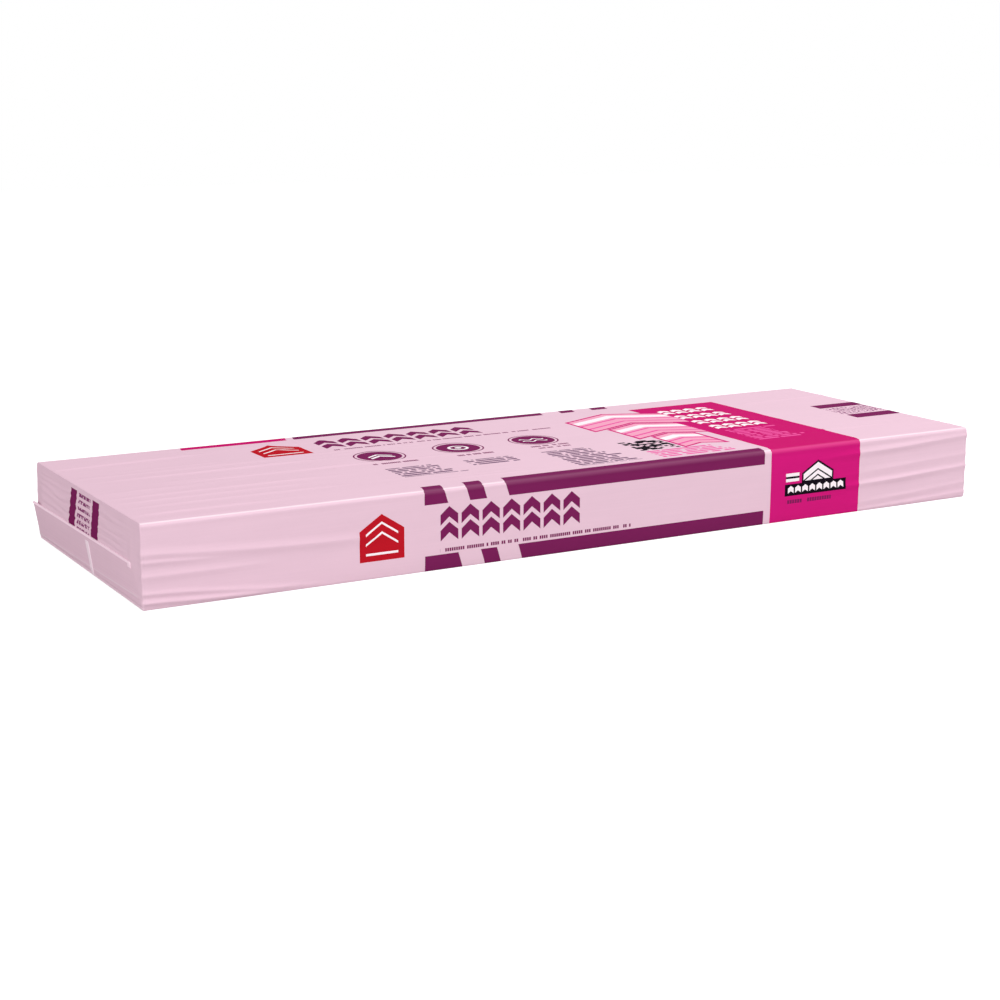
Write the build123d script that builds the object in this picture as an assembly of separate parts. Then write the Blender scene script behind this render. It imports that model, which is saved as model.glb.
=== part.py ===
from build123d import *
import os
from math import sin

# Wrapped bundle of hip and ridge asphalt shingles.
# A stack of flat 36 x 12 inch sheets, each slit so that it parts into three caps, lies in a closed
# printed film wrap. The wrap hugs the stack's long sides, stands a little off its ends, and is closed
# at each end by a flap that is folded up from below and ends in a hem.
# X runs along the sheets, Y across them, and Z up. The origin is under the middle of the bundle.

# Shingle sheets
sheet_length = 914.4
sheet_width = 304.8
sheet_thickness = 3.2
sheet_count = 22
sheet_gap = 0.26  # air that the granules keep between two sheets
sheet_slip = 2.0  # how far a sheet may lie off the stack's middle, lengthwise
slip_turn = 2.4  # spreads the slips so that neighbours differ
crushed_edge_radius = 2.6  # long edges of the top and bottom sheet, rounded by the tight wrap

# Slits on which a sheet parts into caps
caps_per_sheet = 3
slit_length = 24.0
slit_width = 1.2
slit_web = 14.0  # whole sheet left between two slits

# Film wrap
film_thickness = 0.15
film_clearance = 0.15  # between the stack and the film, above, below and at the long sides
end_room = 3.65  # for the tucked film between the sheet that slipped furthest and the end

# Flap that closes each end
flap_height = 36.4  # top of the hem above the floor
flap_near_setback = 27.0  # from the near corner to where the hem ends
flap_thickness = 2 * film_thickness
flap_near_stand_off = 0.5  # how far the hem stands off the end, where it is sealed down
flap_far_stand_off = 5.0  # the same at the far corner, where the flap flares
hem_height = 2.6
hem_thickness = 0.9
hook_drop = 5.5  # the hem's near end turns down by this much
hook_width = 3.0
cut_margin = 1.0  # how far the cut along the flap's near side runs on past it

# Derived sizes
sheet_pitch = sheet_thickness + sheet_gap
stack_height = sheet_count * sheet_pitch - sheet_gap
film_offset = film_clearance + film_thickness
bundle_width = sheet_width + 2 * film_offset
bundle_height = stack_height + 2 * film_offset
bundle_length = sheet_length + 2 * (sheet_slip + end_room + film_thickness)
edge_radius = crushed_edge_radius + film_offset


def perforated_sheet():
    """One sheet, flat on Z = 0, with a row of slits between each two caps."""
    sheet = Box(sheet_length, sheet_width, sheet_thickness, align=(Align.CENTER, Align.CENTER, Align.MIN))
    slit = Box(slit_width, slit_length, sheet_thickness, align=(Align.CENTER, Align.CENTER, Align.MIN))
    slits_in_row = int((sheet_width - slit_web) // (slit_length + slit_web))
    rows = GridLocations(
        sheet_length / caps_per_sheet, slit_length + slit_web, caps_per_sheet - 1, slits_in_row
    )
    return sheet - [place * slit for place in rows]


def with_crushed_edges(sheet, outward):
    """The sheet with its two long edges rounded on the face that looks outward, up or down."""
    outer_face = sheet.faces().sort_by(Axis.Z)[-1 if outward > 0 else 0]
    long_edges = outer_face.outer_wire().edges().filter_by(Axis.X)
    return fillet(long_edges, min(crushed_edge_radius, 0.9 * sheet_thickness))


def shingle_stack():
    """All the sheets, a little off each other lengthwise, none touching the next."""
    plain = perforated_sheet()
    bottom = with_crushed_edges(plain, -1)
    top = with_crushed_edges(plain, 1)
    stack = []
    for index in range(sheet_count):
        sheet = bottom if index == 0 else top if index == sheet_count - 1 else plain
        slip = sheet_slip * sin(slip_turn * index)
        stack.append(Pos(slip, 0, film_offset + index * sheet_pitch) * sheet)
    return Compound(children=[piece.solid() for piece in stack])


def rounded_block(inset):
    """The bundle's outer form, made smaller all round by inset."""
    block = Pos(0, 0, inset) * Box(
        bundle_length - 2 * inset,
        bundle_width - 2 * inset,
        bundle_height - 2 * inset,
        align=(Align.CENTER, Align.CENTER, Align.MIN),
    )
    return fillet(block.edges(), edge_radius - inset)


def flap_section(y, stand_off):
    """The flap with its hem, cut across at y, where the hem stands off the end by stand_off."""
    root = -bundle_length / 2 + film_thickness / 2
    crest = -bundle_length / 2 - stand_off
    hem_foot = flap_height - hem_height
    outline = [
        (root, edge_radius),
        (crest, hem_foot),
        (crest, flap_height),
        (crest - hem_thickness, flap_height),
        (crest - hem_thickness, hem_foot),
        (crest - flap_thickness, hem_foot),
        (root - flap_thickness, edge_radius),
    ]
    return make_face(Polyline([Vector(x, y, z) for x, z in outline], close=True))


def end_flap():
    """The flap at the left end, in place. Its near side is folded back on a slant."""
    near = -bundle_width / 2 + edge_radius
    far = bundle_width / 2
    hem_end = -bundle_width / 2 + flap_near_setback
    flap = loft([flap_section(near, flap_near_stand_off), flap_section(far, flap_far_stand_off)], ruled=True)
    folded_back = [
        (near, edge_radius),
        (hem_end, flap_height),
        (hem_end, flap_height + cut_margin),
        (near - cut_margin, flap_height + cut_margin),
        (near - cut_margin, edge_radius),
    ]
    corner = make_face(Polyline([Vector(-bundle_length / 2, y, z) for y, z in folded_back], close=True))
    flap -= extrude(corner, amount=2 * flap_far_stand_off, dir=(1, 0, 0), both=True)
    hook = Pos(-bundle_length / 2 + film_thickness / 2, hem_end, flap_height - hem_height) * Box(
        flap_near_stand_off + hem_thickness + film_thickness,
        hook_width,
        hook_drop,
        align=(Align.MAX, Align.MIN, Align.MAX),
    )
    return flap + hook


def film_wrap():
    """The whole wrap: a closed skin of one thickness, and a flap at each end that flares at the far side."""
    skin = rounded_block(0) - rounded_block(film_thickness)
    flap = end_flap()
    return skin + flap + mirror(flap, about=Plane.YZ)


os.makedirs("parts", exist_ok=True)
export_step(shingle_stack(), "parts/shingle_sheets.step")
export_step(film_wrap(), "parts/film_wrap.step")
print(f"bundle {bundle_length:.1f} x {bundle_width:.1f} x {bundle_height:.1f} mm, edge radius {edge_radius:.2f}")
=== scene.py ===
import math

import bpy
import numpy as np
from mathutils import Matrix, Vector


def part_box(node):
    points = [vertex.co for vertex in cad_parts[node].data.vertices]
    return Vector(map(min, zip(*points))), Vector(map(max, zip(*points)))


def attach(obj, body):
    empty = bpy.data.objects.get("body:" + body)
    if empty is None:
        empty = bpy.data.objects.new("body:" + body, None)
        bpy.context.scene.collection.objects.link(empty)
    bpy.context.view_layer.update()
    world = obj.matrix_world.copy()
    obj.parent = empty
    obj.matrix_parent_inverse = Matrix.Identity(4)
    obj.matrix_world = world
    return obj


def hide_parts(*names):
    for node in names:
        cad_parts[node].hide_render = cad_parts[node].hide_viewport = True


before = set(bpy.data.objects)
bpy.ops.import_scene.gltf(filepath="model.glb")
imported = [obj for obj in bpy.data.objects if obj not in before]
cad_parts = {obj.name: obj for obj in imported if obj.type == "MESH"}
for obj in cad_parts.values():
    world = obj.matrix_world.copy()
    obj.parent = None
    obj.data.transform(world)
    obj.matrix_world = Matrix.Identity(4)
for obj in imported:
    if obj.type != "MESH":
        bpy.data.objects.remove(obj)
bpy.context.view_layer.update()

# Lengths below are in millimetres: X from the bundle's left end, Y from its near side, Z from the floor
mm = 0.001

# The film, as wrapped
film = {
    "edgeRadius": 2.9,
    "arcSteps": 6,  # faces round an edge
    "stepAlong": 7.2,
    "stepAcross": 2.5,
    "stepUp": 0.9,
    "endPower": 8,  # all edges but the long ones on top are tighter by this; 2 would be as round
    "sideCrown": 0.8,  # the long sides swell by this much, evenly but for their edges
    "crownPower": 6,
    "endCrown": 0.95,  # the ends swell behind the flap by this share of its stand-off
    "earCrown": 0.25,  # the same at the far corner, where the flap's ear stands free
    "earLength": 30.0,
    "earTip": 2.0,  # the last of it, which has the ear's share in full
    "ripple": 0.10,  # soft unevenness all over
    "sideRipples": (240, 45),  # how long and how wide its waves are
    "topRipples": (300, 60),
    "seeds": {"near": 3, "far": 4, "top": 5},
    "mostInward": 0.2,  # the sheets lie 0.3 inside the film
}
flap = {
    "height": 38.0,
    "foot": 2.9,
    "nearFoot": 3.0,  # Y where the flap starts, at its foot
    "nearCrest": 24.5,  # the same at its hem
    "nearStandOff": 0.5,
    "farStandOff": 5.0,
    "thickness": 0.3,
    "ripple": 0.12,
    "ripples": (130, 50),
    "seed": 21,
    "crease": 10.2,  # height of the crease above the floor at the near edge
    "creaseFall": 0.018,  # how much lower it lies for each millimetre across
    "creaseRise": 0.3,
    "creaseWidth": 1.3,
    "stepAcross": 1.8,
    "rows": 24,
    "hidden": 0.4,  # share of the hem's width by which the flap ends below the hem's top
    "rimThin": 0.35,  # thickness at its borders, as a share, and how fast it grows from there
    "rimTaper": 60,
    "sunk": 0.06,  # how far its inner face lies inside the end
}
hem = {
    "width": 2.3,
    "thickness": 0.9,  # its reach beyond the flap
    "bead": 1.3,  # thickness with its foot sunk in the flap
    "sunk": 0.3,
    "footCorner": [(-1, 0.5), (-0.85, 0.85)],  # shares of half its width and of the bead
    "arcSteps": 8,
    "shoulder": 0.6,  # how far below its middle it starts to round off, as a share of half its width
    "endTaper": 0.72,
}

filmLow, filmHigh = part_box("film_wrap")
height = filmHigh.z / mm
width = (filmHigh.y - filmLow.y) / mm
length = (filmHigh.x - filmLow.x) / mm - 2 * (flap["farStandOff"] + hem["thickness"])
print(f"bundle {length:.1f} x {width:.1f} x {height:.1f} mm")


def inFrame(points):
    # From bundle millimetres to the frame's metres
    return (np.asarray(points) - [length / 2, width / 2, 0]) * mm


def makePiece(name, points, faces, cornerUvs, material):
    mesh = bpy.data.meshes.new(name)
    mesh.from_pydata(inFrame(points).tolist(), [], [list(map(int, face)) for face in faces])
    layer = mesh.uv_layers.new(name="film")
    layer.data.foreach_set("uv", (np.asarray(cornerUvs, float) * mm).astype(np.float32).ravel())
    mesh.polygons.foreach_set("use_smooth", [True] * len(mesh.polygons))
    mesh.materials.append(material)
    mesh.validate()
    piece = bpy.data.objects.new(name, mesh)
    bpy.context.scene.collection.objects.link(piece)
    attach(piece, "root")
    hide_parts("film_wrap")
    return piece


def smooth(value, start, end):
    # 0 before start, 1 past end, with an even turn between; start may be the larger of the two
    t = np.clip((value - start) / (end - start), 0, 1)
    return t * t * (3 - 2 * t)


def softField(along, across, seed, sizeAlong, sizeAcross, count=14):
    # Smooth random waves from about -1 to 1
    draw = np.random.default_rng(seed)
    total = 0
    for _ in range(count):
        turns = along * draw.normal() / sizeAlong + across * draw.normal() / sizeAcross + draw.random()
        total = total + np.sin(2 * math.pi * turns)
    return total / math.sqrt(count)


# Folds on a long side: Z of the crest along X, how far it stands out, its reach above and below the
# crest, and between which X it fades from full to nothing
sideFolds = [
    {"crest": [(0, 73.6), (926, 73.6)], "rise": 0.25, "above": 2.4, "below": 3.0, "fade": (926, 990)},
    {"crest": [(0, 49.6), (20, 49), (45, 46.6), (75, 45), (110, 43), (150, 41.5), (200, 40.5)],
     "rise": 0.75, "above": 7.5, "below": 5, "fade": (150, 270)},
    {"crest": [(0, 42.4), (20, 41.8), (45, 40.4), (70, 39)],
     "rise": 0.6, "above": 3.2, "below": 3.4, "fade": (20, 85)},
    {"crest": [(0, 29.8), (20, 29.6), (60, 29.3), (100, 29)],
     "rise": 0.5, "above": 6, "below": 4, "fade": (60, 130)},
    {"crest": [(0, 14.9), (20, 13.9), (45, 12.4), (75, 9.4), (110, 6.2), (150, 4), (200, 2)],
     "rise": 0.65, "above": 4.5, "below": 2.6, "fade": (110, 180)},
    {"crest": [(0, 6.7), (20, 6.2), (45, 4.8), (75, 3.8), (110, 2.6)],
     "rise": 0.9, "above": 4.5, "below": 2.6, "fade": (85, 140)},
    {"crest": [(690, 60), (780, 63.2), (840, 64.8), (926, 68.8)],
     "rise": 1.1, "above": 5.5, "below": 4.6, "fade": (850, 690)},
    {"crest": [(740, 40.5), (780, 42), (850, 45.2), (926, 48.5)],
     "rise": 0.45, "above": 6, "below": 4.5, "fade": (850, 740)},
    {"crest": [(690, 27), (780, 30), (830, 31.4), (880, 33.7), (926, 35.6)],
     "rise": 1.05, "above": 4.8, "below": 4.4, "fade": (840, 700)},
    {"crest": [(740, 8.5), (790, 10.5), (850, 13.1), (926, 17.5)],
     "rise": 0.4, "above": 4.5, "below": 4, "fade": (850, 740)},
    {"crest": [(700, 1), (780, 2.2), (850, 4), (926, 6.6)],
     "rise": 0.6, "above": 3.6, "below": 6, "fade": (870, 720)},
]
foldDepth = 1.6  # all the rises are multiplied by this
foldEase = {"start": 790, "end": 915, "share": 0.42}  # towards the right end the folds flatten


def foldRelief(fold, along, up):
    crestX, crestZ = zip(*fold["crest"])
    above = up - np.interp(along, crestX, crestZ)
    rising = np.clip(1 - above / fold["above"], 0, 1) ** 2
    falling = np.exp(-((above / fold["below"]) ** 2))
    return fold["rise"] * np.where(above > 0, rising, falling) * (1 - smooth(along, *fold["fade"]))


def foldsOut(along, up):
    ease = 1 - foldEase["share"] * smooth(along, foldEase["start"], foldEase["end"])
    return foldDepth * ease * sum(foldRelief(fold, along, up) for fold in sideFolds)


def sideRelief(along, up, seed):
    crown = film["sideCrown"] * (1 - np.abs(2 * up / height - 1) ** film["crownPower"])
    ripple = film["ripple"] * softField(along, up, seed, *film["sideRipples"])
    return crown + foldsOut(along, up) + ripple


# Stretch lines on the top: X and Y of both ends, and how far the line stands up, before depth
topLines = [
    (0, 253, 150, 262, 0.55),
    (60, 215, 160, 216, 0.3),
    (40, 180, 240, 180, 0.55),
    (100, 143, 280, 141, 0.4),
    (20, 103, 215, 102, 0.5),
    (20, 83, 175, 84, 0.4),
    (25, 60, 215, 60, 0.45),
    (10, 30, 125, 31, 0.5),
]
lineSpread = {
    "halfWidth": 2.4,
    "depth": 2.8,
    "strayCount": 34,  # fainter lines, strewn by chance
    "strayRise": 0.3,
    "strayLength": 150,
    "strayLengths": (0.4, 1.4),  # least and most, as shares of that
    "strayDrift": 3,  # how far off level they run
    "strayLeft": (-60, 0, 330),  # where those near the left end start: least, most often and most
    "strayLeftShare": 0.7,
    "strayRight": (700, 900),
    "margin": 8,
    "fullShare": 0.3,  # of a line's length to both sides of its middle, before it fades
    "fadeShare": 0.22,
    "seed": 12,
}


def topRelief(along, across):
    draw = np.random.default_rng(lineSpread["seed"])
    lines = list(topLines)
    left, right = lineSpread["strayLeft"], lineSpread["strayRight"]
    for _ in range(lineSpread["strayCount"]):
        onLeft = draw.random() < lineSpread["strayLeftShare"]
        start = draw.triangular(*left) if onLeft else draw.uniform(*right)
        y = draw.uniform(lineSpread["margin"], width - lineSpread["margin"])
        reach = lineSpread["strayLength"] * draw.uniform(*lineSpread["strayLengths"])
        rise = lineSpread["strayRise"] * draw.random()
        lines.append((start, y, start + reach, y + draw.normal() * lineSpread["strayDrift"], rise))
    total = film["ripple"] * softField(along, across, film["seeds"]["top"], *film["topRipples"])
    for x0, y0, x1, y1, rise in lines:
        share = (along - x0) / (x1 - x0)
        off = across - (y0 + share * (y1 - y0))
        past = np.clip(np.abs(share - 0.5) - lineSpread["fullShare"], 0, None)
        ends = np.exp(-(past / lineSpread["fadeShare"]) ** 2)
        total = total + lineSpread["depth"] * rise * ends * np.exp(-((off / lineSpread["halfWidth"]) ** 2))
    return total


# The edges of the sheets, which show through the ends above the flap as faint level ridges
endRidges = {
    "pitch": 7.0,
    "rise": 0.3,
    "sway": 0.3,  # how far they stray from level, in pitches
    "swayWaves": (150, 60),
    "swaySeed": 31,
    "fineRise": 0.2,
    "fineWaves": (160, 7),
    "fineSeed": 8,
    "clearNear": (25, 70),  # Y over which they come in
    "clearFar": (300, 275),
    "aboveFlap": (-2, 4),  # the same for Z, from the flap's height
    "belowTop": (10, 4),  # and from the top
}
cornerWrap = {"share": 0.75, "reach": 9.0}  # the near side's folds run on a little round the corner
nearMerge = {"reach": 10.0, "cover": 0.15}  # the flap's near border sinks into the end


def flapStandOff(across, up):
    share = np.clip((across - flap["nearFoot"]) / (width - flap["nearFoot"]), 0, 1)
    crestFoot = flap["height"] - hem["width"]
    rise = np.clip((up - flap["foot"]) / (crestFoot - flap["foot"]), 0, 1)
    return (flap["nearStandOff"] + share * (flap["farStandOff"] - flap["nearStandOff"])) * rise


def flapOut(across, up):
    # How far the flap's inner face stands off the end, or the film itself below the flap's foot
    radius = film["edgeRadius"]
    power = film["endPower"]
    sink = radius - (radius**power - np.clip(radius - up, 0, radius) ** power) ** (1 / power)
    share = np.clip((up - flap["foot"]) / (flap["height"] - flap["foot"]), 0, 1)
    ripple = flap["ripple"] * softField(across, up, flap["seed"], *flap["ripples"]) * share
    fromCrease = up - flap["crease"] + flap["creaseFall"] * across
    crease = flap["creaseRise"] * np.exp(-((fromCrease / flap["creaseWidth"]) ** 2)) * (share > 0)
    return flapStandOff(across, up) + ripple + crease - sink


def endRelief(across, up, along):
    # The end swells to meet the flap, but for its ear, and swallows the flap's near border
    toHem = np.clip(up, 0, flap["height"])
    toEar = smooth(across, width - film["earLength"], width - film["earTip"])
    share = film["endCrown"] + toEar * (film["earCrown"] - film["endCrown"])
    rise = (toHem - flap["foot"]) / (flap["height"] - flap["foot"])
    border = flap["nearFoot"] + np.clip(rise, 0, 1) * (flap["nearCrest"] - flap["nearFoot"])
    nearBorder = 1 - smooth(across, border, border + nearMerge["reach"])
    cover = (flapOut(across, toHem) + flap["thickness"] + nearMerge["cover"]) * np.clip(across / border, 0, 1)
    behindFlap = share * flapStandOff(across, toHem) * (1 - nearBorder) + cover * nearBorder
    behindFlap = behindFlap * (1 - smooth(up, flap["height"], height))

    (start, full), (fade, gone) = endRidges["aboveFlap"], endRidges["belowTop"]
    showing = smooth(up, flap["height"] + start, flap["height"] + full)
    showing = showing * (1 - smooth(up, height - fade, height - gone))
    showing = showing * smooth(across, *endRidges["clearNear"]) * smooth(across, *endRidges["clearFar"])
    sway = endRidges["sway"] * softField(across, up, endRidges["swaySeed"], *endRidges["swayWaves"])
    ridges = endRidges["rise"] * np.sin(2 * math.pi * (up / endRidges["pitch"] + sway))
    fine = endRidges["fineRise"] * softField(across, up, endRidges["fineSeed"], *endRidges["fineWaves"])
    corner = cornerWrap["share"] * foldsOut(along, up) * (1 - smooth(across, 0, cornerWrap["reach"]))
    return behindFlap + showing * (ridges + fine) + corner


def stations(span, step):
    # Places along one edge of the box, closer together where the film turns round its ends
    radius = film["edgeRadius"]
    turn = radius * (1 - np.tan(np.linspace(math.pi / 4, 0, film["arcSteps"] + 1)))
    halfCount = math.ceil((span / 2 - radius) / step)
    middle = np.linspace(radius, span - radius, 2 * halfCount + 1)[1:-1]
    return np.concatenate([turn, middle, (span - turn)[::-1]])


def filmSkin(material):
    xs = stations(length, film["stepAlong"])
    ys = stations(width, film["stepAcross"])
    zs = stations(height, film["stepUp"])
    shell = np.zeros((len(xs), len(ys), len(zs)), bool)
    shell[[0, -1]] = shell[:, [0, -1]] = shell[:, :, [0, -1]] = True
    number = np.full(shell.shape, -1)
    number[shell] = np.arange(shell.sum())
    i, j, k = np.nonzero(shell)
    flat = np.column_stack([xs[i], ys[j], zs[k]])

    # Round the box's edges, and let the film stand out or in along its own normal
    radius = film["edgeRadius"]
    size = np.array([length, width, height])
    core = np.clip(flat, radius, size - radius)
    away = flat - core
    power = film["endPower"]
    tight = (np.abs(away) ** power).sum(axis=1) ** (1 / power)
    soft = (np.abs(away[:, 0]) ** power + np.hypot(away[:, 1], away[:, 2]) ** power) ** (1 / power)
    reach = np.where(away[:, 2] < 0, tight, soft)
    away *= radius / reach[:, None]
    normal = away / np.linalg.norm(away, axis=1)[:, None]
    x, y, z = (core + away).T
    weight = normal * np.abs(normal)
    relief = (
        np.clip(-weight[:, 1], 0, 1) * sideRelief(x, z, film["seeds"]["near"])
        + np.clip(weight[:, 1], 0, 1) * sideRelief(length - x, z, film["seeds"]["far"])
        + np.clip(weight[:, 2], 0, 1) * topRelief(x, y)
        + np.clip(-weight[:, 0], 0, 1) * endRelief(y, z, 0.0)
        + np.clip(weight[:, 0], 0, 1) * endRelief(y, z, length)
    )
    relief = np.clip(relief, -film["mostInward"], None)
    points = core + away + relief[:, None] * normal
    points[:, 2] = np.clip(points[:, 2], 0, None)

    # Each side is a grid of the shared points. Its map is the printed web, laid flat: u along the
    # bundle, v from the near bottom edge up, over the top and down the far side.
    girth = 2 * height + width
    sides = [
        (number[:, 0], False, lambda p: (p[..., 0], p[..., 2])),
        (number[:, -1], True, lambda p: (p[..., 0], girth - p[..., 2])),
        (number[:, :, -1], False, lambda p: (p[..., 0], height + p[..., 1])),
        (number[:, : len(ys) // 2 + 1, 0], True, lambda p: (p[..., 0], -p[..., 1])),
        (number[:, len(ys) // 2 :, 0], True, lambda p: (p[..., 0], girth + width - p[..., 1])),
        (number[0], True, lambda p: (p[..., 2] - height, height + p[..., 1])),
        (number[-1], False, lambda p: (length + height - p[..., 2], height + p[..., 1])),
    ]
    faces, uvs = [], []
    for grid, turned, toWeb in sides:
        quads = np.stack([grid[:-1, :-1], grid[1:, :-1], grid[1:, 1:], grid[:-1, 1:]], -1).reshape(-1, 4)
        quads = quads[:, ::-1] if turned else quads
        faces.append(quads)
        uvs.append(np.stack(toWeb(flat[quads]), -1).reshape(-1, 2))
    faces, uvs = np.concatenate(faces), np.concatenate(uvs)
    print(f"film skin: {2 * len(faces)} triangles, relief {relief.min():.2f} to {relief.max():.2f} mm")
    return makePiece("film_skin", points, faces, uvs, material)


def closedSlab(outer, inner):
    # Two grids of points, face to face, joined round their rim
    rows, columns = outer.shape[:2]
    ids = np.arange(rows * columns).reshape(rows, columns)
    quads = np.stack([ids[:-1, :-1], ids[1:, :-1], ids[1:, 1:], ids[:-1, 1:]], -1).reshape(-1, 4)
    rim = np.concatenate([ids[0, :-1], ids[:-1, -1], ids[-1, :0:-1], ids[:0:-1, 0]])
    following = np.roll(rim, -1)
    offset = rows * columns
    walls = np.stack([rim, following, following + offset, rim + offset], -1)
    faces = [*quads, *(quads[:, ::-1] + offset), *walls]
    return np.concatenate([outer.reshape(-1, 3), inner.reshape(-1, 3)]), faces


def sweptBar(sections):
    # Rings of points, joined one to the next and closed at both ends
    count, around = sections.shape[:2]
    ids = np.arange(count * around).reshape(count, around)
    ahead = np.roll(ids, -1, axis=1)
    walls = np.stack([ids[:-1], ids[1:], ahead[1:], ahead[:-1]], -1).reshape(-1, 4)
    return sections.reshape(-1, 3), [*walls, ids[0], ids[-1][::-1]]


def flapPlate():
    top = flap["height"] - flap["hidden"] * hem["width"]
    up = np.linspace(0, 1, flap["rows"] + 1)[:, None]
    share = np.linspace(0, 1, round(width / flap["stepAcross"]) + 1)[None, :]
    z = flap["foot"] + up * (top - flap["foot"]) + 0 * share
    nearBorder = flap["nearFoot"] + up * (flap["nearCrest"] - flap["nearFoot"])
    y = nearBorder + share * (width - nearBorder)
    out = flapOut(y, z)
    thin, taper = flap["rimThin"], flap["rimTaper"]
    thickness = flap["thickness"] * np.clip(share * taper, thin, 1) * np.clip((1 - share) * taper, thin, 1)
    return closedSlab(np.stack([-out - thickness, y, z], -1), np.stack([flap["sunk"] - out, y, z], -1))


def hemBar():
    # A bead along the flap's upper border, rounded off towards its top
    across = np.linspace(width, flap["nearCrest"], round(width / flap["stepAcross"]))
    middle = flap["height"] - hem["width"] / 2
    half, deep, shoulder = hem["width"] / 2, hem["bead"], hem["shoulder"]
    outline = [(-half, -hem["sunk"])] + [(half * a, deep * b) for a, b in hem["footCorner"]]
    for angle in np.linspace(0, math.pi / 2, hem["arcSteps"]):
        outline.append((half * ((1 + shoulder) * math.sin(angle) - shoulder), deep * math.cos(angle)))
    outline.append((half, -hem["sunk"]))
    rise, reach = np.array(outline).T
    grow = np.ones((len(across), 1))
    grow[[0, -1]] = hem["endTaper"]
    up = middle + rise * grow
    out = flapOut(across, middle)[:, None] + reach * grow
    return sweptBar(np.stack([-out, across[:, None] + 0 * up, up], -1))


# Strips laid on the end: Y and Z of both of a strip's ends, the width there, and the thickness
strips = {
    "rows": 40,
    "columns": (-1, -0.93, -0.5, 0, 0.5, 0.93, 1),  # in half widths
    "rimThin": 0.3,  # thickness at the rim, as a share, and how fast it grows from both ends
    "endTaper": 6,
    "sunk": 0.05,
}
lapSeam = {
    "top": (145.0, 31.8),
    "bottom": (137.0, 0.2),
    "topWidth": 9.4,
    "bottomWidth": 7.0,
    "thickness": 0.4,
}
hemTab = {
    "top": (28.0, 36.8),
    "bottom": (27.8, 32.4),
    "topWidth": 8.0,
    "bottomWidth": 6.6,
    "thickness": 0.9,
}


def laidStrip(strip):
    # Over the flap and on down over its foot, thin at the rim
    share = np.linspace(0, 1, strips["rows"])[:, None]
    sideways = np.array(strips["columns"])[None, :]
    (topY, topZ), (bottomY, bottomZ) = strip["top"], strip["bottom"]
    half = (strip["topWidth"] + share * (strip["bottomWidth"] - strip["topWidth"])) / 2
    y = topY + share * (bottomY - topY) + sideways * half
    z = topZ + share * (bottomZ - topZ) + 0 * sideways
    thin, taper = strips["rimThin"], strips["endTaper"]
    ends = np.clip(taper * (1 - share) + thin, 0, 1) * np.clip(taper * share + thin, 0, 1)
    thickness = strip["thickness"] * ends * np.where(np.abs(sideways) == 1, thin, 1)
    out = flapOut(y, z) + flap["thickness"] * (z > flap["foot"])
    outer = np.stack([-out - thickness, y, z], -1)
    inner = np.stack([strips["sunk"] - out, y, z], -1)
    return closedSlab(outer[::-1], inner[::-1])


# Shifts of u on the map, which mark where the film lies double, and where it is folded over itself
doubleFilm, foldedFilm = -1000, -2000


def endFlap(name, material, mirrored):
    parts = [
        (flapPlate(), 0),
        (hemBar(), foldedFilm),
        (laidStrip(hemTab), foldedFilm),
        (laidStrip(lapSeam), doubleFilm),
    ]
    points, faces, uvs, start = [], [], [], 0
    for (partPoints, partFaces), shift in parts:
        faces += [face + start for face in partFaces]
        uvs.append(np.column_stack([shift - partPoints[:, 2], -partPoints[:, 1]]))
        points.append(partPoints)
        start += len(partPoints)
    points, uvs = np.concatenate(points), np.concatenate(uvs)
    if mirrored:
        points = points * [-1, 1, 1] + [length, 0, 0]
        faces = [face[::-1] for face in faces]
    corners = np.concatenate(faces)
    print(f"{name}: {len(faces)} faces")
    return makePiece(name, points, faces, uvs[corners], material)


# Materials
class Wire:  # a socket that arithmetic works on
    def __init__(self, paint, socket):
        self.paint = paint
        self.socket = socket

    def out(self, index):
        return Wire(self.paint, self.socket.node.outputs[index])

    def __add__(self, other):
        return self.paint.math("ADD", self, other)

    def __radd__(self, other):
        return self.paint.math("ADD", other, self)

    def __sub__(self, other):
        return self.paint.math("SUBTRACT", self, other)

    def __rsub__(self, other):
        return self.paint.math("SUBTRACT", other, self)

    def __mul__(self, other):
        return self.paint.math("MULTIPLY", self, other)

    def __rmul__(self, other):
        return self.paint.math("MULTIPLY", other, self)

    def __truediv__(self, other):
        return self.paint.math("DIVIDE", self, other)

    def __mod__(self, other):
        return self.paint.math("FLOORED_MODULO", self, other)

    def __abs__(self):
        return self.paint.math("ABSOLUTE", self)

    def __lt__(self, other):
        return self.paint.math("LESS_THAN", self, other)

    def __gt__(self, other):
        return self.paint.math("GREATER_THAN", self, other)

    def __or__(self, other):
        return self.paint.math("MAXIMUM", self, other)


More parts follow.
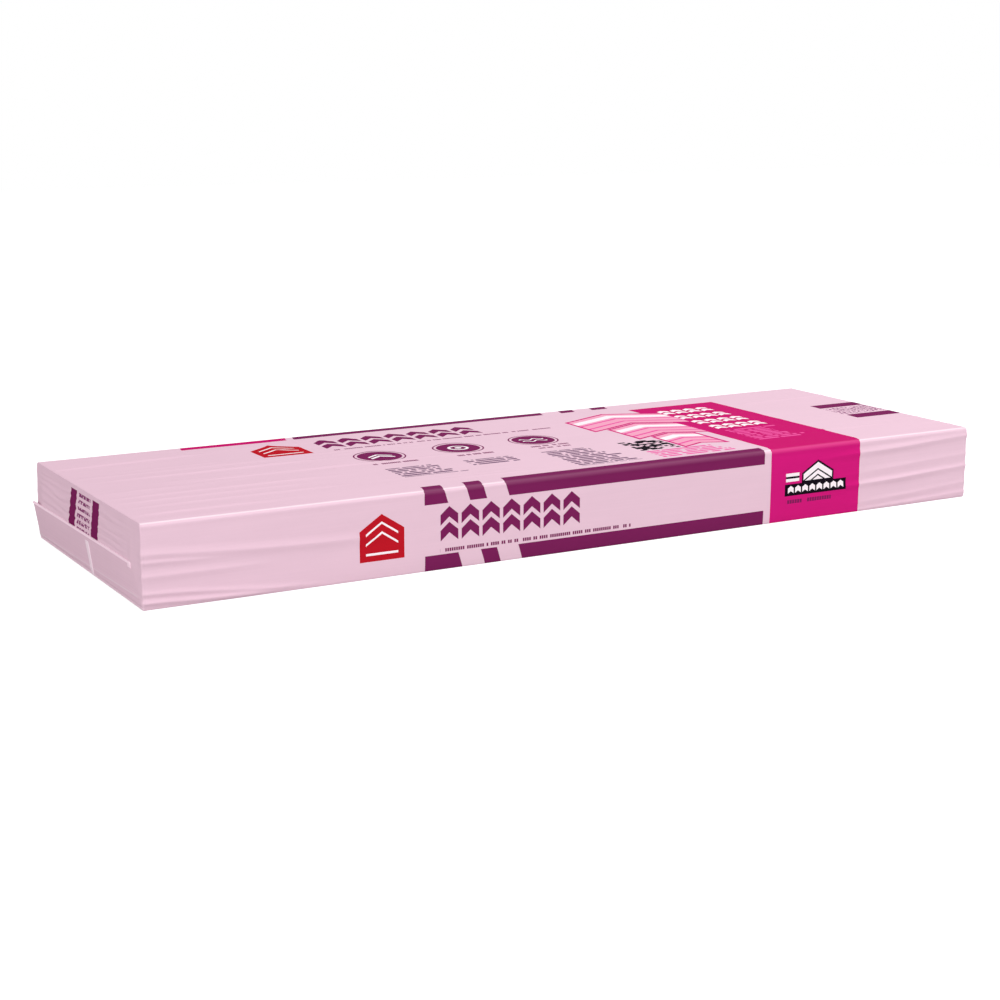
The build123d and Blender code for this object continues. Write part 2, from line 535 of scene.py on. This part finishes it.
class Paint:  # the nodes of one material, or of the world
    def __init__(self, owner):
        owner.use_nodes = True
        self.owner = owner
        self.tree = owner.node_tree
        self.tree.nodes.clear()

    def node(self, kind, settings=None, values=None, output=0):
        made = self.tree.nodes.new("ShaderNode" + kind)
        for key, value in (settings or {}).items():
            setattr(made, key, value)
        for key, value in (values or {}).items():
            if isinstance(value, Wire):
                self.tree.links.new(value.socket, made.inputs[key])
            else:
                made.inputs[key].default_value = value
        return Wire(self, made.outputs[output]) if made.outputs else None

    def math(self, operation, *values):
        return self.node("Math", {"operation": operation}, dict(enumerate(values)))

    def inside(self, value, low, high):
        return self.math("COMPARE", value, (low + high) / 2, (high - low) / 2)

    def box(self, across, up, left, right, low, high):
        return self.inside(across, left, right) * self.inside(up, low, high)

    def floor(self, value):
        return self.math("FLOOR", value)

    def vector(self, *parts):
        return self.node("CombineXYZ", values=dict(enumerate(parts)))

    def mix(self, factor, first, second, blend="MIX"):
        settings = {"data_type": "RGBA", "blend_type": blend}
        return self.node("Mix", settings, {0: factor, 6: first, 7: second}, output=2)

    def noise(self, place, scale, detail=2.0):
        return self.node("TexNoise", values={"Vector": place, "Scale": scale, "Detail": detail})

    def chance(self, *cell):
        # A random number for each cell
        return self.node("TexWhiteNoise", {"noise_dimensions": "2D"}, {"Vector": self.vector(*cell)})


def ink(code):
    # A colour written as on a print sheet, as the shader wants it
    shares = [int(code[place : place + 2], 16) / 255 for place in (1, 3, 5)]
    return (*[s / 12.92 if s <= 0.04045 else ((s + 0.055) / 1.055) ** 2.4 for s in shares], 1.0)


inks = {
    "film": ink("#e9c6d6"),
    "doubled": ink("#fbe4ef"),
    "folded": ink("#ffe0ee"),
    "plum": ink("#7a2358"),
    "magenta": ink("#d21d7a"),
    "deepMagenta": ink("#c9156c"),
    "paleMagenta": ink("#ec5aa4"),
    "red": ink("#be1a28"),
    "white": ink("#fdf2f7"),
    "salmon": ink("#f2a6c2"),
    "grey": ink("#745470"),
    "mauve": ink("#8a4672"),
    "black": ink("#17101a"),
}

# The long sides carry two rows of bars that run round the edges, above and below the big gables
sideBars = {
    "topEdge": 62.65,
    "bottomEdge": 14.7,
    "wrap": 15.5,  # how far the bars run on past the edges
    "drift": 0.3,  # how much the web drifts along for each millimetre round the edge, up to driftEnd
    "driftEnd": 12.0,
    "slant": 0.32,
    "left": 269.5,
    "right": 655.5,
    "topCuts": (294.0, 317.0, 334.9, 358.6),
    "bottomCuts": (304.2, 328.0, 345.1, 368.2),
}


def barsMask(paint, along, around):
    def row(edge, cuts):
        slanted = along + (paint.math("MINIMUM", around, height) - edge) * sideBars["slant"]
        first = (along > sideBars["left"]) * (slanted < cuts[0])
        last = (slanted > cuts[3]) * (along < sideBars["right"])
        return first | paint.inside(slanted, cuts[1], cuts[2]) | last

    topEdge, bottomEdge, wrap = sideBars["topEdge"], sideBars["bottomEdge"], sideBars["wrap"]
    top = row(topEdge, sideBars["topCuts"]) * paint.inside(around, topEdge, height + wrap)
    bottom = row(bottomEdge, sideBars["bottomCuts"]) * paint.inside(around, -wrap, bottomEdge)
    return top | bottom


def gableRow(paint, across, up, halfWidth, fall, bands):
    # Nested gables, one to each whole number of across; bands are the heights of their ridges
    offAxis = paint.math("PINGPONG", across + 0.5, 0.5)
    ridge = up + offAxis * fall
    mask = paint.inside(ridge, *bands[0])
    for band in bands[1:]:
        mask = mask | paint.inside(ridge, *band)
    return mask * (offAxis < halfWidth)


# The row of big gables, on a side and on the top: left, low, width of one and height. The last three
# are shares of these.
bigGables = {
    "side": (284.0, 26.5, 22.0, 33.0),
    "top": (273.5, 303.0, 26.5, 45.0),
    "topFrom": 150.0,  # from here up the top's places hold
    "count": 7,
    "halfWidth": 0.42,
    "fall": 0.56,
    "bands": [(0.25, 0.55), (0.70, 1.0)],
}


def bigGableMask(paint, along, around, onTop):
    side, top = bigGables["side"], bigGables["top"]
    left, low, wide, tall = [a + (b - a) * onTop for a, b in zip(side, top)]
    across, up = (along - left) / wide, (around - low) / tall
    row = gableRow(paint, across, up, bigGables["halfWidth"], bigGables["fall"], bigGables["bands"])
    return row * paint.inside(across, 0.0, bigGables["count"])


# The red gable beside each row: middle, low, half width and height. Its slope and its white lines are
# shares of these.
redGable = {
    "side": (226.0, 16.6, 22.5, 43.2),
    "top": (228.5, 290.0, 26.5, 57.0),
    "fall": 0.34,
    "slopeLines": ((0.79, 0.84), (0.58, 0.63)),
    "levelLine": (0.13, 0.18),
    "lineReach": 0.72,
}


def redLayers(paint, along, around, onTop):
    side, top = redGable["side"], redGable["top"]
    middle, low, half, tall = [a + (b - a) * onTop for a, b in zip(side, top)]
    across, up = abs(along - middle) / half, (around - low) / tall
    ridge = up + across * redGable["fall"]
    shape = (across < 1.0) * (up > 0.0) * (ridge < 1.0)
    upper, lower = redGable["slopeLines"]
    lines = paint.inside(ridge, *upper) | paint.inside(ridge, *lower)
    lines = lines | paint.inside(up, *redGable["levelLine"])
    return [(shape, inks["red"]), (lines * (across < redGable["lineReach"]) * shape, inks["white"])]


# The magenta band runs round the near edge and ends on the top; on the far side it only wraps over.
# From deepFrom past the edge it is a little darker.
magentaBand = {"left": 663.8, "right": 778.6, "topEnd": 346.0, "deepFrom": 2.0}


def bandMask(paint, along, around):
    left, right, top = magentaBand["left"], magentaBand["right"], magentaBand["topEnd"]
    return paint.box(along, around, left, right, -sideBars["wrap"], top)


tickGaps = {"between": 0.24, "leftOut": 0.14, "seed": 3}  # a share of the pitch, and of all the ticks


def ticks(paint, along, pitch):
    kept = paint.chance(paint.floor(along / pitch), tickGaps["seed"]) > tickGaps["leftOut"]
    return (along % pitch > tickGaps["between"] * pitch) * kept


# On the magenta side: a white gable on a black bar with a row of small gables, and a thin line.
# Boxes are left, right, low and high.
badge = {
    "middle": 724.0,
    "fall": 0.6,
    "outline": (20.5, 61.0, 38.0),  # half width, ridge and foot
    "house": (18.5, 58.6, 40.5),
    "courses": ((50.5, 52.2), (44.5, 46.2)),
    "bar": (682, 761, 26.4, 38.6),
    "smallBox": (685, 758.5, 27.6, 37.4),
    "smallPitch": 9.2,
    "smallFoot": 28.4,
    "smallTall": 8.4,
    "smallShape": (0.4, 0.7, [(0.35, 1.0)]),  # half width, fall and bands
    "tag": (683, 700, 41.2, 50.0),
    "tagLine": (44.4, 46.6),
    "line": (684, 742, 18.2, 22.2),
    "lineTicks": 3.2,
}


def badgeLayers(paint, along, around):
    offAxis = abs(along - badge["middle"])
    ridge = around + offAxis * badge["fall"]

    def gable(halfWidth, top, foot):
        return (offAxis < halfWidth) * (ridge < top) * (around > foot)

    house = gable(*badge["house"])
    upper, lower = badge["courses"]
    courses = house * (paint.inside(ridge, *upper) | paint.inside(ridge, *lower))
    across = (along - badge["smallBox"][0]) / badge["smallPitch"]
    up = (around - badge["smallFoot"]) / badge["smallTall"]
    small = gableRow(paint, across, up, *badge["smallShape"]) * paint.box(along, around, *badge["smallBox"])
    tag = paint.box(along, around, *badge["tag"])
    line = paint.box(along, around, *badge["line"]) * ticks(paint, along, badge["lineTicks"])
    return [
        (gable(*badge["outline"]) | paint.box(along, around, *badge["bar"]), inks["black"]),
        (house | small | tag, inks["white"]),
        (courses | tag * paint.inside(around, *badge["tagLine"]), inks["black"]),
        (line, inks["plum"]),
    ]


# Three round marks on the top, each a disc with a ring round it. The first holds gables, the second a
# target and the third waves.
discs = {
    "first": 305.0,  # X of the first one's middle
    "pitch": 88.5,
    "count": 3,
    "y": 166.0,
    "disc": 22.6,  # radius
    "ring": (25.0, 26.6),
    "markReach": 16.0,
    "gableFall": 0.7,
    "gables": ((-2.0, 2.2), (5.5, 9.0)),
    "gableReach": 13.0,
    "target": (8.0, 11.0),
    "bull": 3.6,
    "waves": ((3.0, 5.6), (-5.6, -3.0)),
    "waveTurn": 0.42,
    "waveRise": 2.6,
    "waveReach": 13.5,
}


def discLayers(paint, along, across):
    left = discs["first"] - discs["pitch"] / 2
    fromMiddle = (along - left) % discs["pitch"] - discs["pitch"] / 2
    up = across - discs["y"]
    radius = paint.math("SQRT", fromMiddle * fromMiddle + up * up)
    here = paint.inside(along, left, left + discs["count"] * discs["pitch"])
    plum = (radius < discs["disc"]) | paint.inside(radius, *discs["ring"])

    def pair(value, bands, reach):
        return (paint.inside(value, *bands[0]) | paint.inside(value, *bands[1])) * (abs(fromMiddle) < reach)

    gable = pair(up + abs(fromMiddle) * discs["gableFall"], discs["gables"], discs["gableReach"])
    target = paint.inside(radius, *discs["target"]) | (radius < discs["bull"])
    wave = paint.math("SINE", fromMiddle * discs["waveTurn"]) * discs["waveRise"]
    waves = pair(up - wave, discs["waves"], discs["waveReach"])
    second, third = left + discs["pitch"], left + 2 * discs["pitch"]
    marks = gable * (along < second) | target * paint.inside(along, second, third) | waves * (along > third)
    return [(plum * here, inks["plum"]), (marks * here * (radius < discs["markReach"]), inks["white"])]


# Lines and blocks of plain ticks: left, right, low and high. Y counts from the near edge of the top,
# and is below 0 on the side.
tickRows = {
    "lines": [
        (285, 494.7, -59.6, -56.4),
        (279, 533, 215, 219),
        (281, 330, 127.5, 133),
        (374, 415, 127.5, 133),
        (460, 505, 131, 135.5),
        (464, 502, 121.5, 126),
    ],
    "blocks": [(281, 352, 61, 105), (366, 438, 78, 105), (455, 526, 26, 105)],
    "pinkBlocks": [(549, 640, 21, 56), (688, 756, 50, 114)],
    "linePitch": 2.3,
    "blockPitch": 2.6,
    "leftOut": 0.16,  # this share of a block's ticks is
    "row": 7.2,
    "inRow": (1.4, 5.6),
    "ragged": 22,  # how much shorter than its block a row may be
    "raggedSeed": 11,
}


def tickRowLayers(paint, along, across):
    row = paint.floor(across / tickRows["row"])
    inRow = paint.inside(across % tickRows["row"], *tickRows["inRow"])
    ragged = paint.chance(row, tickRows["raggedSeed"]) * tickRows["ragged"]
    column = paint.floor(along / tickRows["blockPitch"])
    dashes = (paint.chance(column, row) > tickRows["leftOut"]) * inRow

    def place(left, right, low, high, edge=0.0):
        return (along > left) * (along + edge < right) * paint.inside(across, low, high)

    def places(boxes, edge=0.0):
        together = place(*boxes[0], edge)
        for box in boxes[1:]:
            together = together | place(*box, edge)
        return together

    return [
        (places(tickRows["lines"]) * ticks(paint, along, tickRows["linePitch"]), inks["plum"]),
        (places(tickRows["blocks"], ragged) * dashes, inks["grey"]),
        (places(tickRows["pinkBlocks"], ragged) * dashes, inks["paleMagenta"]),
    ]


# A patch of dark and bare cells by chance
checkPatch = {"left": 548.0, "low": 61.0, "cell": 4.3, "cells": 11, "bare": 0.42}


def checkMask(paint, along, across):
    a = (along - checkPatch["left"]) / checkPatch["cell"]
    b = (across - checkPatch["low"]) / checkPatch["cell"]
    whole = paint.box(a, b, 0, checkPatch["cells"], 0, checkPatch["cells"])
    return (paint.chance(paint.floor(a), paint.floor(b)) > checkPatch["bare"]) * whole


# Three ridge caps, one over the next, drawn large beside the magenta block
caps = {
    "middle": 626.0,
    "halfWidth": 64.0,
    "narrowing": 18.0,  # from one to the next
    "ridges": (262.0, 197.0, 132.0),
    "deep": 64.0,
    "fall": 0.42,
    "line": 3.6,
    "bands": [(24, 12), (33, 29), (50, 46)],  # a white one and two pale ones, down from the ridge
}


def capLayers(paint, along, across):
    offAxis = abs(along - caps["middle"])
    ridge = across + offAxis * caps["fall"]
    layers = []
    for index, top in enumerate(caps["ridges"]):
        reach = caps["halfWidth"] - caps["narrowing"] * index
        edge = caps["line"]
        outer = (offAxis < reach) * paint.inside(ridge, top - caps["deep"], top)
        inner = (offAxis < reach - edge) * paint.inside(ridge, top - caps["deep"] + edge, top - edge)
        bands = [inner * paint.inside(ridge, top - low, top - high) for low, high in caps["bands"]]
        layers += [
            (outer, inks["magenta"]),
            (inner, inks["salmon"]),
            (bands[0], inks["white"]),
            (bands[1] | bands[2], inks["paleMagenta"]),
        ]
    return layers


# Rows of pale gables on the magenta block
paleGables = {
    "box": (686.0, 755.0, 122.0, 252.0),
    "pitch": 33.0,
    "tall": 25.0,
    "wide": 17.25,
    "shape": (0.4, 0.45, [(0.25, 0.55), (0.7, 1.0)]),  # half width, fall and bands
}


def paleGableMask(paint, along, across):
    left, _, low, _ = paleGables["box"]
    up = (across - low) % paleGables["pitch"] / paleGables["tall"]
    rows = gableRow(paint, (along - left) / paleGables["wide"], up, *paleGables["shape"])
    return rows * paint.box(along, across, *paleGables["box"])


# Bars over both ends, with ticks between them. On the left end they start below the edge and lean.
endPrint = {
    "leftStart": -4.2,
    "leftEnd": -50.0,
    "rightStart": 863.0,
    "rightEnd": 958.0,
    "leftBars": ((110.0, 128.5), (175.0, 192.5)),
    "leftBetween": (133.5, 169.0),
    "rightBars": ((105.0, 124.0), (170.0, 189.0)),
    "rightBetween": (128.0, 166.0),
    "lean": 0.1,
    "row": 6.35,
    "inRow": (2.1, 5.5),
    "tickPitch": 1.6,
    "leftOut": 0.3,
}


def endLayers(paint, along, across):
    below = endPrint["leftStart"] - along
    leaning = across - below * endPrint["lean"]
    onLeft = paint.inside(along, endPrint["leftEnd"], endPrint["leftStart"])
    onRight = paint.inside(along, endPrint["rightStart"], endPrint["rightEnd"])
    bars, between = [], []
    for here, place, side in ((onLeft, leaning, "left"), (onRight, across, "right")):
        first, second = endPrint[side + "Bars"]
        bars.append(here * (paint.inside(place, *first) | paint.inside(place, *second)))
        between.append(here * paint.inside(place, *endPrint[side + "Between"]))
    rows = paint.inside((along - endPrint["leftStart"]) % endPrint["row"], *endPrint["inRow"])
    column, row = paint.floor(across / endPrint["tickPitch"]), paint.floor(along / endPrint["row"])
    dashes = rows * (paint.chance(column, row) > endPrint["leftOut"])
    return [(bars[0] | bars[1], inks["plum"]), ((between[0] | between[1]) * dashes, inks["mauve"])]


# The film's own surface, under the print and over it, and the highlight, sheen and light painted on it
finish = {
    "roughness": 0.5,
    "roughnessSpread": 0.06,
    "specular": 0.0003,
    "mottle": 0.04,  # how much the film's thickness shows as lighter and darker
    "mottleScale": (0.008, 0.03),  # its waves to a millimetre, along the web and across it
    "streaks": 0.05,  # the same for the fine stretch lines
    "streakScale": (0.012, 0.5),
    "grain": 0.00004,  # height of the fine stretch lines, in metres
    "grainOnEnds": 3,  # how many times more they stand up there
    "underLap": 4.5,  # how far the lap under the bundle reaches past its middle
    "edgeHighlight": 0.65,  # strength of the painted highlight along the long top edges
    "edgePlace": (0.8, 1.9),  # middle of that, up from the edge, and reach
    "creaseBlanch": 0.25,
    "creaseReach": 0.7,
    "footPaintedLight": 0.4,  # painted light on the lowest part of both ends, against the floor's shade
    "footTop": 4.0,
    "inkSheen": 0.055,  # painted sheen: how much paler the print is painted over the long top edges
    "sheenReach": 5.0,
}


def filmMaterial():
    paint = Paint(bpy.data.materials.new("printed_film"))
    web = paint.node("SeparateXYZ", values={0: paint.node("UVMap", {"uv_map": "film"})})
    u, v = web * (1 / mm), web.out(1) * (1 / mm)

    # The far side has the near side's print, turned half round
    farSide = v > height + width - sideBars["wrap"]
    along = u + farSide * (length - u * 2)
    around = v + farSide * (2 * height + width - v * 2)
    across = around - height
    onTop = around > bigGables["topFrom"]

    past = paint.math("MINIMUM", across | 0.0, sideBars["driftEnd"])
    drifted = along - past * sideBars["drift"]

    band = bandMask(paint, drifted, around)
    layers = [
        (barsMask(paint, drifted, around), inks["plum"]),
        (band, inks["magenta"]),
        (band * (across > magentaBand["deepFrom"]), inks["deepMagenta"]),
        (bigGableMask(paint, along, around, onTop), inks["plum"]),
        *redLayers(paint, along, around, onTop),
        *badgeLayers(paint, along, around),
        *discLayers(paint, along, across),
        *tickRowLayers(paint, along, across),
        (checkMask(paint, along, across), inks["black"]),
        *capLayers(paint, along, across),
        (paleGableMask(paint, along, across), inks["white"]),
        *endLayers(paint, u, across),
    ]
    onWeb = paint.inside(u, 0, length)
    seam = (around < finish["underLap"] - width / 2) * onWeb
    doubled = seam | (u < doubleFilm / 2)
    colour = paint.mix(doubled, inks["film"], inks["doubled"])
    colour = paint.mix(u < (doubleFilm + foldedFilm) / 2, colour, inks["folded"])

    # Bare film is painted pale along the long top edges, as a painted highlight where the rounded edges catch
    # the light. It turns pale along the flap's crease, and the foot of both ends is painted lighter in the
    # folded film's colour, as painted light against the floor's shade.
    middle, reach = finish["edgePlace"]
    # Painted highlight: a pale line along the long top edges, where the rounded edges catch the light
    edge = (1 - abs(around - height - middle) / reach | 0.0) * onWeb
    onFlap = (u < 0) * (v < 0) * (u > doubleFilm / 2)
    foot = onFlap * (0 - u < finish["footTop"]) | (u < flap["foot"] - height) * (v > 0) * (u > doubleFilm / 2)
    foot = foot | (u > length + height - flap["foot"])
    creaseLine = onFlap * (abs(u + flap["crease"] + v * flap["creaseFall"]) < finish["creaseReach"])
    highlightAndCreasePale = edge * finish["edgeHighlight"] | creaseLine * finish["creaseBlanch"]
    colour = paint.mix(highlightAndCreasePale, colour, inks["white"])
    # Painted light: the foot of both ends is mixed towards the folded film's colour, lightening it against
    # the floor's shade
    colour = paint.mix(foot * finish["footPaintedLight"], colour, inks["folded"])
    for mask, layerInk in layers:
        colour = paint.mix(mask, colour, layerInk)
    # Painted sheen: the colour, print included, is mixed towards white near the long top edges
    sheen = (1 - abs(around - height) / finish["sheenReach"] | 0.0) * onWeb
    colour = paint.mix(sheen * finish["inkSheen"], colour, inks["white"])

    # Stretch lines run along the web, and the film is a little uneven in thickness. The last number of
    # each vector only sets the two patterns apart.
    onEnds = 1 - onWeb
    lengthwise, sideways = u + onEnds * (v - u), v + onEnds * (u - v)
    long, wide = finish["streakScale"]
    lines = paint.noise(paint.vector(lengthwise * long, sideways * wide, 0.0), 1.0, 3.0)
    long, wide = finish["mottleScale"]
    broad = paint.noise(paint.vector(u * long, v * wide, 2.0), 1.0)
    shade = 1 + (broad - 0.5) * finish["mottle"] + (lines - 0.5) * finish["streaks"]
    colour = paint.mix(1.0, colour, paint.vector(shade, shade, shade), "MULTIPLY")
    rough = finish["roughness"] + (lines - 0.5) * finish["roughnessSpread"]
    relief = lines * (1 + onEnds * finish["grainOnEnds"])
    bump = paint.node("Bump", values={"Strength": 1.0, "Distance": finish["grain"], "Height": relief})
    surface = paint.node("BsdfPrincipled", values={
        "Base Color": colour,
        "Roughness": rough,
        "Normal": bump,
        "Specular IOR Level": finish["specular"],
    })
    paint.node("OutputMaterial", values={"Surface": surface})
    print(f"printed film: {len(paint.tree.nodes)} nodes")
    return paint.owner


# Mineral granules pressed into asphalt, on the sheets inside the film
granules = {
    "size": 1.4,
    "dark": ink("#2c2a2c"),
    "light": ink("#6f6a68"),
    "roughness": 0.9,
    "height": 0.0005,  # in metres
    "bump": 0.8,
}


def granuleMaterial():
    paint = Paint(bpy.data.materials.new("granules"))
    place = paint.node("TexCoord", output=3)
    cells = paint.node("TexVoronoi", values={"Vector": place, "Scale": 1 / mm / granules["size"]})
    tone = paint.node("SeparateColor", values={0: cells.out(1)})
    colour = paint.mix(tone, granules["dark"], granules["light"])
    bump = paint.node("Bump", values={
        "Strength": granules["bump"],
        "Distance": granules["height"],
        "Height": 1 - cells,
    })
    surface = paint.node("BsdfPrincipled", values={
        "Base Color": colour,
        "Roughness": granules["roughness"],
        "Normal": bump,
    })
    paint.node("OutputMaterial", values={"Surface": surface})
    print(f"granules: {granules['size']} mm")
    return paint.owner


# Where the photograph was taken from: angles in degrees, lengths in metres, but the lens in millimetres
view = {
    "azimuth": -29.429,
    "elevation": 12.517,
    "distance": 1.9528,
    "target": (-0.02796, 0, 0.02021),
    "lens": 68.41,
    "clipStart": 0.05,
}


def makeCamera():
    turn, rise = math.radians(view["azimuth"]), math.radians(view["elevation"])
    back = Vector((math.sin(turn) * math.cos(rise), -math.cos(turn) * math.cos(rise), math.sin(rise)))
    camera = bpy.data.objects.new("camera", bpy.data.cameras.new("camera"))
    camera.data.lens = view["lens"]
    camera.data.clip_start = view["clipStart"]
    camera.location = Vector(view["target"]) + back * view["distance"]
    camera.rotation_euler = (-back).to_track_quat("-Z", "Y").to_euler()
    bpy.context.scene.collection.objects.link(camera)
    bpy.context.scene.camera = camera
    print(f"camera: {view['distance']:.2f} m from its target, lens {view['lens']:.1f} mm")


studio = {
    "ambient": 0.52,
    "lamps": {  # place, size and power of each
        "key": ((1.2, -1.4, 2.55), 1.1, 46.0),
        "fill": ((-4.4, -4.2, 1.2), 2.6, 174.0),
        "back": ((2.2, 3.2, 1.3), 1.8, 40.0),
    },
    "floorTone": 0.45,
    "floorSize": 12.0,
    "floorShare": 0.5,  # how much of the floor's look comes from the light on it, so that a shadow stays
    "floorWhite": 1.02,  # how bright it shows where nothing shades it
}


def makeStudio():
    world = bpy.data.worlds.new("studio")
    bpy.context.scene.world = world
    paint = Paint(world)
    path = paint.node("LightPath")
    seen = path | path.out(3) | path.out(6)  # camera, glossy and transmission rays
    strength = studio["ambient"] + seen * (1 - studio["ambient"])
    paint.node("OutputWorld", values={
        "Surface": paint.node("Background", values={"Color": (1, 1, 1, 1), "Strength": strength}),
    })

    for name, (place, size, power) in studio["lamps"].items():
        light = bpy.data.lights.new(name, "AREA")
        light.energy = power
        light.size = size
        lamp = bpy.data.objects.new(name, light)
        lamp.location = place
        lamp.rotation_euler = (-lamp.location).to_track_quat("-Z", "Y").to_euler()
        bpy.context.scene.collection.objects.link(lamp)

    half = studio["floorSize"] / 2
    mesh = bpy.data.meshes.new("floor")
    corners = [(-half, -half, 0), (half, -half, 0), (half, half, 0), (-half, half, 0)]
    mesh.from_pydata(corners, [], [(0, 1, 2, 3)])
    floor = bpy.data.objects.new("floor", mesh)
    bpy.context.scene.collection.objects.link(floor)
    paint = Paint(bpy.data.materials.new("floor"))
    path = paint.node("LightPath")
    tone = studio["floorTone"]
    lit = paint.node("BsdfDiffuse", values={"Color": (tone, tone, tone, 1)})
    share = studio["floorShare"]
    glow = studio["floorWhite"] - share * studio["ambient"]
    shown = paint.node("AddShader", values={
        0: paint.node("BsdfDiffuse", values={"Color": (share, share, share, 1)}),
        1: paint.node("Emission", values={"Color": (1, 1, 1, 1), "Strength": glow}),
    })
    surface = paint.node("MixShader", values={0: path | path.out(3), 1: lit, 2: shown})
    paint.node("OutputMaterial", values={"Surface": surface})
    mesh.materials.append(paint.owner)
    print(f"studio: {len(studio['lamps'])} lamps and a floor")


bpy.context.scene.view_settings.view_transform = "Standard"
makeCamera()
makeStudio()
printedFilm = filmMaterial()
filmSkin(printedFilm)
endFlap("end_flap_left", printedFilm, False)
endFlap("end_flap_right", printedFilm, True)
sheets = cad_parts["shingle_sheets"]
sheets.data.materials.clear()
sheets.data.materials.append(granuleMaterial())
